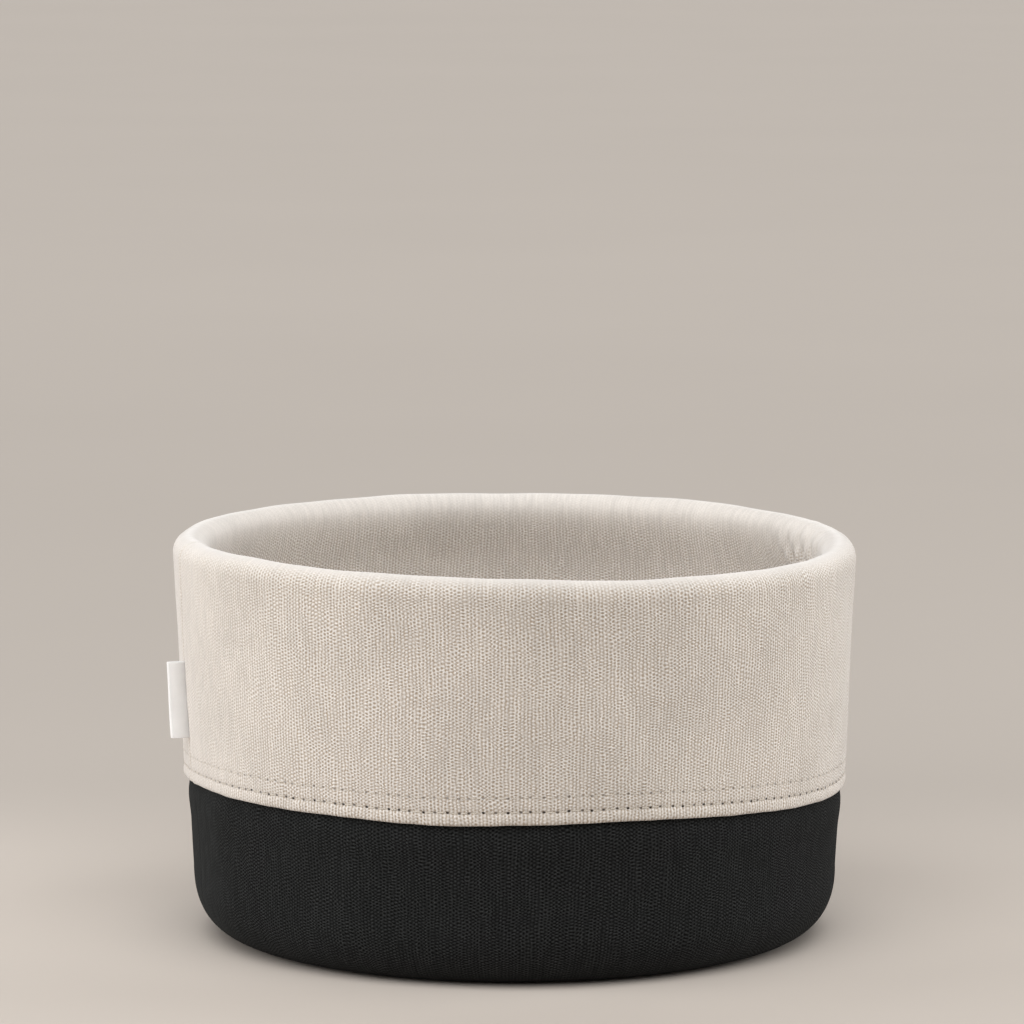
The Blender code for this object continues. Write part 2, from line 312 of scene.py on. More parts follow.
def hermite(places, values, slopes, wanted):
    """A smooth curve through values over places: in each span, the cubic that keeps both ends' slopes."""
    row = np.clip(np.searchsorted(places, wanted, side="right") - 1, 0, len(places) - 2)
    span = places[row + 1] - places[row]
    t = (wanted - places[row]) / span
    return ((2 * t**3 - 3 * t**2 + 1) * values[row] + (t**3 - 2 * t**2 + t) * span * slopes[row]
            + (3 * t**2 - 2 * t**3) * values[row + 1] + (t**3 - t**2) * span * slopes[row + 1])


def around(rows, angle):
    """Value at an angle, smooth and closed through (angle_deg, value_mm) rows, in metres."""
    angles = np.radians([row[0] for row in rows])
    values = np.array([row[1] for row in rows]) * MM
    angles = np.concatenate((angles[-2:] - math.tau, angles, angles[:2] + math.tau))
    values = np.concatenate((values[-2:], values, values[:2]))
    return hermite(angles, values, np.gradient(values, angles), np.mod(angle, math.tau))


def unevenness(angle, height):
    """How far the cloth at an angle and height moves outward and upward from a perfectly round section."""
    hem = around(HEM_LIFT_ROWS, angle)
    rim = around(RIM_LIFT_ROWS, angle)
    up = smooth_step(CORNER_HEIGHT, HEM_LIFT_FULL, height)
    up = up * (hem + (rim - hem) * smooth_step(RIM_LIFT_STARTS, RIM_LIFT_FULL, height))
    return waves_round(ROUND_WAVES, angle) * smooth_step(0.0, RIM_TOP, height), up


def dents(angle, height):
    """Soft dents of the wall, outward: the sum of size * sin(waves * angle + slant * height + phase)."""
    out = sum(size * MM * np.sin(waves * angle + slant * height / MM + phase)
              for waves, size, slant, phase in DENT_WAVES)
    return out * smooth_step(*DENTS_SET_IN, height)


def waves_round(rows, angle):
    """The sum of size * sin(waves * angle + phase), in metres."""
    return sum(size * MM * np.sin(waves * angle + phase) for waves, size, phase in rows)


def lengths(points):
    """The length along a line up to each of its points."""
    return np.concatenate(([0.0], np.cumsum(np.hypot(*np.diff(points, axis=0).T))))


def even_line(points, spacing=LINE_SPACING):
    """The same line with its points evenly spaced along its length."""
    along = lengths(points)
    wanted = np.linspace(0.0, along[-1], max(2, round(along[-1] / spacing)))
    return np.column_stack([np.interp(wanted, along, axis) for axis in points.T])


def left_normals(points, along):
    """Unit normals to the left of a line's direction."""
    way = np.gradient(points, along, axis=0)
    way /= np.linalg.norm(way, axis=1)[:, None]
    return np.column_stack((-way[:, 1], way[:, 0]))


def arc(centre, radius, start, end, steps=64):
    """Points centre + radius * (cos, sin) from a start angle to an end angle."""
    turn = np.linspace(start, end, steps)
    return np.column_stack((centre[0] + radius * np.cos(turn), centre[1] + radius * np.sin(turn)))


class Section:
    """A cloth's middle line in a plane, read by its length, with the normals of its good side."""

    def __init__(self, points, zero, good_side):
        """Counts the length from the point numbered zero; good_side is 1 for left and -1 for right."""
        self.points = points
        self.along = lengths(points)
        self.along -= self.along[zero]
        self.normals = good_side * left_normals(points, self.along)

    def read(self, along, proud):
        """The line's point at each length, moved by proud along the good side's normal."""
        return [np.interp(along, self.along, self.points[:, axis])
                + proud * np.interp(along, self.along, self.normals[:, axis]) for axis in (0, 1)]


def cuff_face_radius(height):
    """Radius of the cuff's outer face at a height, a straight flare from the hem to the rim."""
    share = (height - HEM_HEIGHT) / (ROLL_CENTRE_HEIGHT - HEM_HEIGHT)
    return HEM_RADIUS + (RIM_RADIUS - HEM_RADIUS) * share


def shell_line():
    """The shell's middle line from the base seam: along the floor, a quarter superellipse for the corner, a
    smooth curve through WALL_ROWS, half a circle over the rim and a straight flare down inside the cuff."""
    turn = np.linspace(-math.pi / 2, 0.0, 90)
    width = CORNER_RADIUS - HALF_CLOTH - FLAT_RADIUS
    corner = np.column_stack((
        FLAT_RADIUS + width * np.abs(np.cos(turn)) ** (2 / CORNER_POWER),
        CORNER_HEIGHT - (CORNER_HEIGHT - HALF_CLOTH) * np.abs(np.sin(turn)) ** (2 / CORNER_POWER)))

    roll = ROLL_RADIUS - HALF_CLOTH - LAYER_PITCH
    centre = (RIM_RADIUS - ROLL_RADIUS, ROLL_CENTRE_HEIGHT)
    rows = np.array(WALL_ROWS) * MM
    heights = np.concatenate(([CORNER_HEIGHT], rows[:, 0], [ROLL_CENTRE_HEIGHT]))
    radii = np.concatenate(([CORNER_RADIUS - HALF_CLOTH], rows[:, 1] - HALF_CLOTH, [centre[0] - roll]))
    slopes = np.gradient(radii, heights)
    slopes[-1] = 0.0
    up = np.linspace(CORNER_HEIGHT, ROLL_CENTRE_HEIGHT, 240)[1:]
    wall = np.column_stack((hermite(heights, radii, slopes, up), up))

    over = arc(centre, roll, math.pi, 0.0)[1:]
    end = HEM_HEIGHT + SHELL_END_ABOVE_HEM
    cuff = np.array([(cuff_face_radius(end) - HALF_CLOTH - LAYER_PITCH, end)])
    return even_line(np.vstack(([(BASE_SEAM_RADIUS, HALF_CLOTH)], corner, wall, over, cuff)))


def lining_line():
    """The lining's middle line: one layer to the left of the shell's, then down to the hem and turned under
    in half a superellipse, where |x|^p + |y|^p is the same all along."""
    shell = shell_line()
    along = np.arange(len(shell), dtype=float)
    beside = shell + LAYER_PITCH * left_normals(shell, along)
    fold = LAYER_PITCH / 2
    face = HEM_RADIUS - HALF_CLOTH
    turn = arc((0.0, 0.0), 1.0, 0.0, -math.pi)
    turn = fold * np.sign(turn) * np.abs(turn) ** (2 / FOLD_POWER)
    turn = turn + (face - fold, HEM_HEIGHT + HALF_CLOTH + fold)
    under = np.array([(face - LAYER_PITCH, HEM_HEIGHT + HEM_ALLOWANCE)])
    return even_line(np.vstack((beside, turn, under)))


def lining_section():
    """The lining's section from its turned-under edge, its length counted from the hem's lowest point."""
    line = lining_line()[::-1]
    hem = int(np.argmin(line[:round(20 * MM / LINE_SPACING), 1]))
    return Section(line, hem, -1)


def shell_section():
    """The shell's section from its end inside the cuff down to the base seam."""
    return Section(shell_line()[::-1], 0, 1)


def spaced(*zones):
    """Places evenly spaced from zone to zone: every zone is (start, spacing), and the last only ends it."""
    parts = [np.linspace(start, end, max(1, round((end - start) / gap)), endpoint=False)
             for (start, gap), (end, _) in zip(zones, zones[1:])]
    return np.concatenate(parts + [[zones[-1][0]]])


def strip_outline(good_rows, back_rows, half):
    """The outline across a strip with round edges: up its good side, round one edge, down its back and
    round the other edge. Returns each point's place across the strip, its share of half the thickness, and
    its map place."""
    turn = np.radians(np.arange(30.0, 180.0, 30.0))
    end, start = good_rows[-1], good_rows[0]
    edge, face = half * np.sin(turn), np.cos(turn)
    place = np.concatenate((good_rows, end + edge, back_rows[::-1], start - edge))
    share = np.concatenate((np.ones(len(good_rows)), face, -np.ones(len(back_rows)), -face))
    steps = np.hypot(np.diff(place), np.diff(share) * half)
    mapped = good_rows[0] + np.concatenate(([0.0], np.cumsum(steps)))
    return place, share, np.append(mapped, mapped[-1] + half)


def columns_round(count):
    """Angles round the bag from the side seam, closer together beside it, and the map length of each."""
    near = np.array(SEAM_COLUMNS) * MM / MAP_RADIUS
    turn = np.sort(np.concatenate((np.linspace(near[-1], math.tau - near[-1], count), [0.0], near[:-1],
                                   math.tau - near[:-1])))
    return SEAM_ANGLE + turn, np.append(turn, math.tau) * MAP_RADIUS


def from_seam(angle):
    """Distance round the bag from the side seam on the map's radius, up to half a turn either way."""
    return (np.mod(angle - SEAM_ANGLE + math.pi, math.tau) - math.pi) * MAP_RADIUS


def side_seam(angle, depth):
    """A sewn side seam: a narrow groove between two low swells where the seam allowance lies behind."""
    away = np.abs(from_seam(angle))
    return SWELL_SHARE * depth * bell(away - SWELL_PLACE, SWELL_WIDTH) - depth * bell(away, SEAM_GROOVE)


def hem_relief(angle, along):
    """The cuff's lower edge: a groove along each row of stitches, pulled in a little more at every hole, a
    puffed band below the first row, and fine waves round the edge."""
    wave = np.cos(from_seam(angle) / MAP_LENGTH * math.tau * settings("bread_bag_sewing").stitches)
    relief = 0.0
    for place, depth, *_ in STITCH_ROWS:
        relief = relief - depth * bell(along - place, STITCH_GROOVE) * (0.8 - 0.2 * wave)
    band = smooth_step(*PUFF_RISES, along) * (1 - smooth_step(*PUFF_FALLS, along))
    return relief + band * (PUFF_DEPTH + PUFF_WAVES * waves_round(HEM_WAVES, 1.7 * angle))


def roll_swell(angle, height):
    """Uneven fullness of the hollow rim, along its normal."""
    return waves_round(ROLL_WAVES, angle) * smooth_step(*ROLL_SETS_IN, height)


def inner_crumple(angle, along):
    """Soft folds of the lining where it enters the bag on the right: two slanting sines that cross, inside
    a bell, always away from the shell."""
    turn = np.mod(angle + math.pi, math.tau) - math.pi
    where = bell(turn - CRUMPLE_TURN, CRUMPLE_REACH) * bell(along - CRUMPLE_PLACE, CRUMPLE_RISE)
    across, up = turn * MAP_RADIUS * CRUMPLE_SLANT[0], along * CRUMPLE_SLANT[1]
    return where * (CRUMPLE_DEPTH + sum(depth * np.sin((across + way * up) * math.tau / spacing)
                                        for depth, spacing, way in CRUMPLE_FOLDS))


def turned(section, along, angle, proud, lift=0.0):
    """A section's point at a length, moved by proud along its normal, then turned round the axis with the
    wall's unevenness and dents, and lifted."""
    radius, height = section.read(along, proud)
    out, up = unevenness(angle, height)
    radius = radius + out + dents(angle, height)
    parts = radius * np.cos(angle), radius * np.sin(angle), height + (up + lift)
    return np.stack(np.broadcast_arrays(*parts), -1)


def lining_face(section, along, angle, proud):
    """A point of the lining. Proud is counted from the middle line, positive on the good side. That side
    has the seam and the hem, and the whole cloth the rim's uneven fullness, the creases and fine waves near
    the hem."""
    _, height = section.read(along, 0.0)
    good = smooth_step(*GOOD_SIDE, proud)
    moved = proud + roll_swell(angle, height) + inner_crumple(angle, along)
    moved = moved + good * (side_seam(angle, LINING_SEAM_DEPTH) + hem_relief(angle, along))
    lift = waves_round(HEM_WAVES, angle) * (1 - smooth_step(*HEM_WAVES_DIE, along))
    return turned(section, along, angle, moved, lift)


def shell_face(section, along, angle, proud):
    """A point of the shell, found as the lining's is, with the side seam's groove on its good side."""
    _, height = section.read(along, 0.0)
    good = smooth_step(*GOOD_SIDE, proud)
    seam = good * side_seam(angle, SHELL_SEAM_DEPTH) * smooth_step(*SHELL_SEAM_STARTS, height)
    return turned(section, along, angle, proud + roll_swell(angle, height) + seam)


# ---- Meshes


def grid_faces(rows, columns, closed_rows=False):
    """Quads of a grid of points that is closed across its columns, and across its rows where asked."""
    i = np.arange(rows if closed_rows else rows - 1)[:, None]
    j = np.arange(columns)[None, :]
    right, above = (j + 1) % columns, (i + 1) % rows
    return np.stack((i * columns + j, i * columns + right, above * columns + right, above * columns + j),
                    -1).reshape(-1, 4)


def end_fans(rows, columns):
    """Triangles that close such a grid's first and last row, each towards a point after the grid's own."""
    tip, last = np.full(columns, rows * columns), (rows - 1) * columns
    j = np.arange(columns)
    right = (j + 1) % columns
    return np.vstack((np.column_stack((tip, right, j)), np.column_stack((tip + 1, last + j, last + right))))


def grid_map(across, up):
    """Map places of the grid's quads, from the map length of every column edge and row edge."""
    left, low = np.meshgrid(across[:-1], up[:-1])
    right, high = np.meshgrid(across[1:], up[1:])
    corners = (left, low), (right, low), (right, high), (left, high)
    return np.stack([np.stack(corner, -1) for corner in corners], -2).reshape(-1, 4, 2)


def volume(points, faces):
    """Six times the volume inside a closed surface, below zero where its faces look inward."""
    total = 0.0
    for group in faces:
        for k in range(1, group.shape[1] - 1):
            a, b, c = points[group[:, 0]], points[group[:, k]], points[group[:, k + 1]]
            total += float(np.sum(a * np.cross(b, c)))
    return total


def mesh_piece(name, node, points, faces, maps, material):
    """A smooth closed mesh from points, groups of faces and the map places of their corners. It rides with
    the bag and hides the CAD node that it replaces, where there is one."""
    if volume(points, faces) < 0.0:
        faces = [group[:, ::-1] for group in faces]
        maps = [group[:, ::-1] for group in maps]
    corners = np.concatenate([group.ravel() for group in faces])
    sizes = np.concatenate([np.full(len(group), group.shape[1]) for group in faces])
    mesh = bpy.data.meshes.new(name)
    mesh.vertices.add(len(points))
    mesh.vertices.foreach_set("co", points.astype(np.float32).ravel())
    mesh.loops.add(len(corners))
    mesh.loops.foreach_set("vertex_index", corners.astype(np.int32))
    mesh.polygons.add(len(sizes))
    mesh.polygons.foreach_set("loop_start", (np.cumsum(sizes) - sizes).astype(np.int32))
    mesh.update(calc_edges=True)
    if mesh.validate():
        raise RuntimeError(f"{name}: the mesh had faulty faces")
    mesh.uv_layers.new(name="cloth").uv.foreach_set(
        "vector", np.concatenate([group.reshape(-1, 2) for group in maps]).astype(np.float32).ravel())
    mesh.shade_smooth()
    mesh.materials.append(material)
    piece = bpy.data.objects.new(name, mesh)
    bpy.context.scene.collection.objects.link(piece)
    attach(piece, BODY)
    if node:
        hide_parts(node)
    return piece


def rows_along(section, first_spacing, *zones):
    """Places along a whole section but for its round edges."""
    start, end = section.along[[0, -1]]
    return spaced((start + HALF_CLOTH, first_spacing), *zones, (end - HALF_CLOTH, 0))


def wall_piece(name, node, section, good_rows, back_rows, columns, face, material):
    """A wall's cloth: the outline across it, carried round the bag by the face's function."""
    rows = [rows_along(section, *zones) for zones in (good_rows, back_rows)]
    along, share, mapped = strip_outline(*rows, HALF_CLOTH)
    angle, across = columns_round(columns)
    points = face(section, along[:, None], angle[None, :], share[:, None] * HALF_CLOTH)
    return mesh_piece(name, node, points.reshape(-1, 3), [grid_faces(len(along), len(angle), True)],
                      [grid_map(across, mapped)], material)


def disc_piece(name, node, underside, waviness, material):
    """A round cloth with a rounded edge: an outline from the top's centre over the edge to the underside's
    centre, turned round the axis. With s the share of the radius, the top has waves of size * sin(5 angle +
    9 s) * sin(3 pi s), which die out at the edge. The map is the plan, moved to where a wall's map is
    farthest from the side seam."""
    radius = BASE_SEAM_RADIUS - BASE_GAP
    turn = np.linspace(0.0, math.tau, DISC_COLUMNS, endpoint=False)
    share = np.linspace(0.04, 1.0, DISC_ROWS)
    bend = np.radians(np.arange(18, 180, 18))
    flat = radius - HALF_CLOTH
    across = np.concatenate((share * flat, flat + HALF_CLOTH * np.sin(bend), share[::-3] * flat))
    level = np.concatenate((np.ones(len(share)), np.cos(bend), -np.ones(len(share[::-3]))))
    wavy = np.where(level > 0.99, waviness, 0.0)[:, None]
    across, level = across[:, None], level[:, None]
    wave = np.sin(5 * turn + 9 * across / radius) * np.sin(3 * math.pi * across / radius)
    height = underside + HALF_CLOTH * (1 + level) + wavy * wave
    rings = np.stack((across * np.cos(turn), across * np.sin(turn), height), -1)
    middle = [(0.0, 0.0, underside + 2 * HALF_CLOTH), (0.0, 0.0, underside)]
    points = np.vstack((rings.reshape(-1, 3), middle))
    faces = [grid_faces(len(across), DISC_COLUMNS), end_fans(len(across), DISC_COLUMNS)]
    mapped = points[:, :2] + (MAP_LENGTH / 2, 0.0)
    return mesh_piece(name, node, points, faces, [mapped[group] for group in faces], material)


# ---- Shader parts


class Wires:
    """Adds nodes to one tree. Each input is a plain value or another node's output."""

    def __init__(self, tree):
        self.tree = tree

    def fill(self, sockets, values):
        """Links or sets several input sockets."""
        for key, value in values.items():
            if isinstance(value, bpy.types.NodeSocket):
                self.tree.links.new(value, sockets[key])
            else:
                sockets[key].default_value = value

    def node(self, kind, inputs=None, **choices):
        """A node with its choices set and its inputs filled."""
        made = self.tree.nodes.new(kind)
        made.location = (190 * (len(self.tree.nodes) % 9), -210 * (len(self.tree.nodes) // 9))
        for name, value in choices.items():
            setattr(made, name, value)
        self.fill(made.inputs, inputs or {})
        return made

    def effect(self, tree, inputs):
        """The outputs of a shared effect."""
        return self.node("ShaderNodeGroup", inputs, node_tree=tree).outputs

    def map_place(self):
        """The place on the piece's own map, in metres."""
        return self.node("ShaderNodeUVMap", uv_map="cloth").outputs[0]

    def spot(self):
        """The place on the object, in metres."""
        return self.node("ShaderNodeTexCoord").outputs["Object"]

    def math(self, operation, *values):
        """One step of arithmetic on numbers."""
        return self.node("ShaderNodeMath", dict(enumerate(values)), operation=operation).outputs[0]

    def chain(self, first, *steps):
        """Several steps in a row, each (operation, other value), on a number."""
        for operation, *rest in steps:
            first = self.math(operation, first, *rest)
        return first

    def swing(self, value, size):
        """A value from 0 to 1, moved to lie round 0 and scaled."""
        return self.chain(value, ("SUBTRACT", 0.5), ("MULTIPLY", size))

    def vector(self, operation, *values, output="Vector", **more):
        """One step of arithmetic on vectors."""
        return self.node("ShaderNodeVectorMath", {**dict(enumerate(values)), **more},
                         operation=operation).outputs[output]

    def split(self, vector):
        """A vector's parts."""
        return self.node("ShaderNodeSeparateXYZ", {0: vector}).outputs

    def joined(self, x, y, z=0.0):
        """A vector of three parts."""
        return self.node("ShaderNodeCombineXYZ", {0: x, 1: y, 2: z}).outputs[0]

    def mixed(self, share, first, second, blend="MIX"):
        """A blend of two colours."""
        return self.node("ShaderNodeMix", {0: share, 6: first, 7: second}, data_type="RGBA",
                         blend_type=blend).outputs[2]

    def shaded(self, colour, shade):
        """A colour times a number."""
        return self.mixed(1.0, colour, self.joined(shade, shade, shade), "MULTIPLY")

    def step(self, value, low, high, to_low=0.0, to_high=1.0):
        """A smooth step from to_low at low to to_high at high."""
        return self.node("ShaderNodeMapRange", {0: value, 1: low, 2: high, 3: to_low, 4: to_high},
                         interpolation_type="SMOOTHSTEP").outputs[0]

    def noise(self, place, scale, detail=1.0, flat=True, output=0):
        """A soft noise, about 0.5 on average: output 0 is a number and 1 three of them."""
        return self.node("ShaderNodeTexNoise", {"Vector": place, "Scale": scale, "Detail": detail},
                         noise_dimensions="2D" if flat else "3D").outputs[output]

    def bump(self, height, depth):
        """A normal bent by a height that is depth metres at 1."""
        return self.node("ShaderNodeBump", {"Height": height, "Distance": depth, "Strength": 1.0}).outputs[0]


def new_effect(name, numbers, outputs):
    """An empty shader node group with a place and named numbers as inputs: its wires, its input sockets and
    its output node's inputs."""
    group = bpy.data.node_groups.new(name, "ShaderNodeTree")
    new_socket = group.interface.new_socket
    new_socket(name="Place", in_out="INPUT", socket_type="NodeSocketVector")
    for label, default in numbers.items():
        new_socket(name=label, in_out="INPUT", socket_type="NodeSocketFloat").default_value = default
    for label in outputs:
        new_socket(name=label, in_out="OUTPUT", socket_type="NodeSocketFloat")
    return Wires(group), group.nodes.new("NodeGroupInput").outputs, group.nodes.new("NodeGroupOutput").inputs


def plain_weave():
    """Shared effect, a plain weave in metres. With a and b the place counted in columns and rows, the
    height is 0.5 + Ridges (1.2 - turn) cos 2 pi a + Bumps (0.8 + turn) cos(pi a + drift) cos(pi b + shift):
    ridges down the columns, and bumps staggered from column to column. Turn is a soft noise of about 0.2.
    Drift and shift are soft noises that move the bumps against the ridges. The place strays by noises of
    three sizes, and slubs along the columns differ in height and tone. Pits go from 1 at the height Deep to
    0 at the height Full."""
    if "plain_weave" in bpy.data.node_groups:
        return bpy.data.node_groups["plain_weave"]
    numbers = {"Column Pitch": 1.2 * MM, "Row Pitch": 0.565 * MM, "Wander": 0.4 * MM, "Unevenness": 0.8,
               "Ridges": 0.25, "Bumps": 0.4, "Deep": -0.1, "Full": 1.0}
    w, given, out = new_effect("plain_weave", numbers, ["Height", "Pits", "Tone"])
    stray = (0.0, 0.0, 0.0)
    for scale, size in STRAY_NOISES:
        swing = w.vector("SUBTRACT", w.noise(given["Place"], scale, 0.0, output=1), (0.5, 0.5, 0.5))
        stray = w.vector("ADD", stray, w.vector("SCALE", swing, Scale=size))
    stray = w.vector("SCALE", stray, Scale=given["Wander"])
    x, y, _ = w.split(w.vector("ADD", given["Place"], stray))
    a = w.math("DIVIDE", x, given["Column Pitch"])
    b = w.math("DIVIDE", y, given["Row Pitch"])

    def along_threads(a_share, b_share, detail):
        """A noise that is long along the threads where a share is small."""
        return w.noise(w.joined(w.math("MULTIPLY", a, a_share), w.math("MULTIPLY", b, b_share)), 1.0, detail)

    scale, size = DRIFT_NOISE
    patch = w.noise(w.vector("MULTIPLY", given["Place"], (1.0, 0.6, 1.0)), scale, 1.0, output=1)
    drift, shift, turn = w.split(w.vector("SCALE", w.vector("SUBTRACT", patch, (0.5, 0.5, 0.5)), Scale=size))
    turn = w.step(turn, -3.5, 3.5, 0.0, 0.4)
    ridge = w.chain(a, ("MULTIPLY", math.tau), ("COSINE",), ("MULTIPLY", w.math("SUBTRACT", 1.2, turn)),
                    ("MULTIPLY", given["Ridges"]))
    staggered = w.chain(b, ("MULTIPLY_ADD", math.pi, shift), ("COSINE",))
    bump = w.chain(a, ("MULTIPLY_ADD", math.pi, drift), ("COSINE",), ("MULTIPLY", staggered),
                   ("MULTIPLY", w.math("ADD", turn, 0.8)), ("MULTIPLY", given["Bumps"]))
    slub, fibre = along_threads(0.8, 0.12, 1.0), along_threads(1.5, 0.8, 2.0)
    uneven = w.chain(w.swing(slub, given["Unevenness"]), ("MULTIPLY", 2.0), ("ADD", 1.0))
    height = w.chain(w.math("ADD", ridge, bump), ("MULTIPLY", uneven), ("ADD", 0.5))
    height = w.math("ADD", height, w.swing(fibre, 0.50))
    tone = w.math("ADD", w.swing(along_threads(0.7, 0.035, 1.0), 1.2), w.swing(slub, 1.2))
    w.fill(out, {"Height": height, "Pits": w.step(height, given["Deep"], given["Full"], 1.0, 0.0),
                 "Tone": w.chain(tone, ("MULTIPLY", given["Unevenness"]), ("ADD", 0.5))})
    return w.tree


def soft_patches():
    """Shared effect on a place in metres: Patch is broad cloudiness of the cloth, Fibre its fine fuzz."""
    if "soft_patches" in bpy.data.node_groups:
        return bpy.data.node_groups["soft_patches"]
    w, given, out = new_effect("soft_patches", {"Patch Size": 30 * MM}, ["Patch", "Fibre"])
    scale = w.math("DIVIDE", 1.0, given["Patch Size"])
    w.fill(out, {"Patch": w.step(w.noise(given["Place"], scale, 3.0, False), 0.3, 0.7),
                 "Fibre": w.noise(given["Place"], 2600.0, 2.0, False)})
    return w.tree


def needle_holes():
    """Shared effect, a row of needle holes round the hem. Hole k is centred at (k + 0.5 + stray) stitches,
    where stray is Stray times the mean of two sines of k, and a third sine moves it up and down, as the
    stitches are. Crease is the narrow line that the thread pulls in between the holes; holes and crease dent
    the cloth and darken it as painted shade."""
    if "needle_holes" in bpy.data.node_groups:
        return bpy.data.node_groups["needle_holes"]
    numbers = {"Stitch": 4 * MM, "Row": 4.4 * MM, "Size": 0.5 * MM, "Stray": 0.13, "Strength": 1.0}
    w, given, out = new_effect("needle_holes", numbers, ["Hole", "Crease"])
    x, y, _ = w.split(given["Place"])
    k = w.chain(x, ("DIVIDE", given["Stitch"]), ("FLOOR",))

    def sine(waves, phase=0.0):
        """A sine of the hole's number."""
        return w.math("SINE", w.math("MULTIPLY_ADD", k, waves, phase))

    stray = w.chain(sine(2.4, 1.0), ("ADD", sine(5.1)), ("MULTIPLY", 0.5), ("MULTIPLY", given["Stray"]))
    centre = w.chain(stray, ("ADD", k), ("ADD", 0.5), ("MULTIPLY", given["Stitch"]))
    level = w.math("MULTIPLY_ADD", sine(1.7), STITCH_WAVE, given["Row"])
    aside = w.chain(x, ("SUBTRACT", centre), ("DIVIDE", given["Size"]), ("POWER", 2.0))
    above = w.chain(y, ("SUBTRACT", level), ("DIVIDE", given["Size"]), ("MULTIPLY", 1.3), ("POWER", 2.0))
    far = w.math("SQRT", w.math("ADD", aside, above))
    strong = w.chain(sine(3.7, 0.6), ("MULTIPLY", 0.22), ("ADD", 0.88), ("MULTIPLY", given["Strength"]))
    beside = w.chain(y, ("SUBTRACT", given["Row"]), ("ABSOLUTE",), ("DIVIDE", given["Size"]))
    patchy = w.noise(w.joined(w.math("DIVIDE", x, given["Stitch"]), 0.0), 1.3, 1.0)
    patchy = w.step(patchy, 0.35, 0.6, 0.35, 1.0)
    w.fill(out, {"Hole": w.math("MULTIPLY", w.step(far, 0.45, 1.05, 1.0, 0.0), strong),
                 "Crease": w.math("MULTIPLY", w.step(beside, 0.15, 0.9, 1.0, 0.0), patchy)})
    return w.tree


def new_material(name, colour):
    """A node material with a Principled shader: its wires and the shader."""
    material = bpy.data.materials.new(name)
    material.use_nodes = True
    material.diffuse_color = colour
    return material, Wires(material.node_tree), material.node_tree.nodes["Principled BSDF"]


def canvas(name, kind, cuff=False):
    """Woven canvas: threads and pits from the weave, cloudy patches and loose fibres; the pits are partly
    painted shade. On the cuff's cloth the weave is pulled smooth over the rim and paler there as a painted
    highlight, and the hem is more ridged and has its needle holes."""
    if name in bpy.data.materials:
        return bpy.data.materials[name]
    cloth = settings("bread_bag_cloth")
    thread, pit, sheen = (getattr(cloth, f"{kind}_{part}") for part in ("colour", "pit_colour", "sheen"))
    weave, pit_share, tone_share, sheen_tint, gloss = CANVAS_LOOKS[kind]
    material, w, shader = new_material(name, tuple(thread))
    place = w.map_place()
    weave = {"Place": place, "Column Pitch": cloth.column_pitch, "Row Pitch": cloth.row_pitch,
             "Wander": cloth.wander, "Unevenness": cloth.unevenness, **weave}
    up = w.split(place)[1]
    if cuff:
        for label, share in HEM_SHARES.items():
            weave[label] = w.step(up, *HEM_WEAVE, share * weave[label], weave[label])
    woven = w.effect(plain_weave(), weave)
    height, pits, tone = (woven[label] for label in ("Height", "Pits", "Tone"))
    # Beside the side seam the weave is flatter and paler: partly pressed cloth, partly a painted highlight
    kept = seam_fade(w, place, *(CUFF_PRESS_AND_HIGHLIGHT if cuff else PLAIN_PRESS_AND_HIGHLIGHT))
    pits, height = flattened(w, kept, pits, height, PRESS_AND_HIGHLIGHT_PITS)
    if cuff:
        # Over the rim the pits give way to a paler level: pulled cloth, and a painted highlight
        kept = w.math("ADD", w.step(up, RIM_STARTS, RIM_FACES_UP, 1.0, RIM_KEPT),
                      w.step(up, RIM_ENDS, INSIDE, 0.0, INSIDE_KEPT))
        pits, height = flattened(w, kept, pits, height, RIM_PITS)
    patches = w.effect(soft_patches(), {"Place": w.spot()})
    shade = w.math("ADD", w.step(tone, 0.0, 1.0, 1 - tone_share, 1 + tone_share),
                   w.swing(patches["Patch"], PATCH_SHADE))
    shade = w.math("ADD", shade, w.swing(patches["Fibre"], FIBRE_SHADE))
    # Pits darken the threads: partly the gaps' own colour, partly painted shade in the gaps
    colour = w.shaded(w.mixed(w.math("MULTIPLY", pits, pit_share), tuple(thread), tuple(pit)), shade)
    if cuff:
        colour, height = with_holes(w, place, colour, height)
    w.fill(shader.inputs, {
        "Base Color": colour, "Roughness": w.math("MULTIPLY_ADD", pits, 0.08, 0.86),
        "Normal": w.bump(height, cloth.weave_depth), "Sheen Weight": sheen, "Sheen Roughness": 0.4,
        "Sheen Tint": sheen_tint, "Specular IOR Level": gloss})
    return material


def flattened(w, kept, pits, height, mean_pits):
    """The pits and the height with only a share of them kept, and the rest at the pits' mean."""
    rest = w.math("MULTIPLY", w.math("SUBTRACT", 1.0, kept), mean_pits)
    return w.math("ADD", rest, w.math("MULTIPLY", pits, kept)), w.math("MULTIPLY", height, kept)


def seam_fade(w, place, share, ends):
    """1 far from the side seam, where the map of a wall starts and ends, and less by a share beside it."""
    across = w.split(place)[0]
    other_end = w.chain(across, ("SUBTRACT", MAP_LENGTH), ("ABSOLUTE",))
    return w.step(w.math("MINIMUM", w.math("ABSOLUTE", across), other_end), SEAM_PRESS_AND_HIGHLIGHT, ends, 1 - share, 1.0)


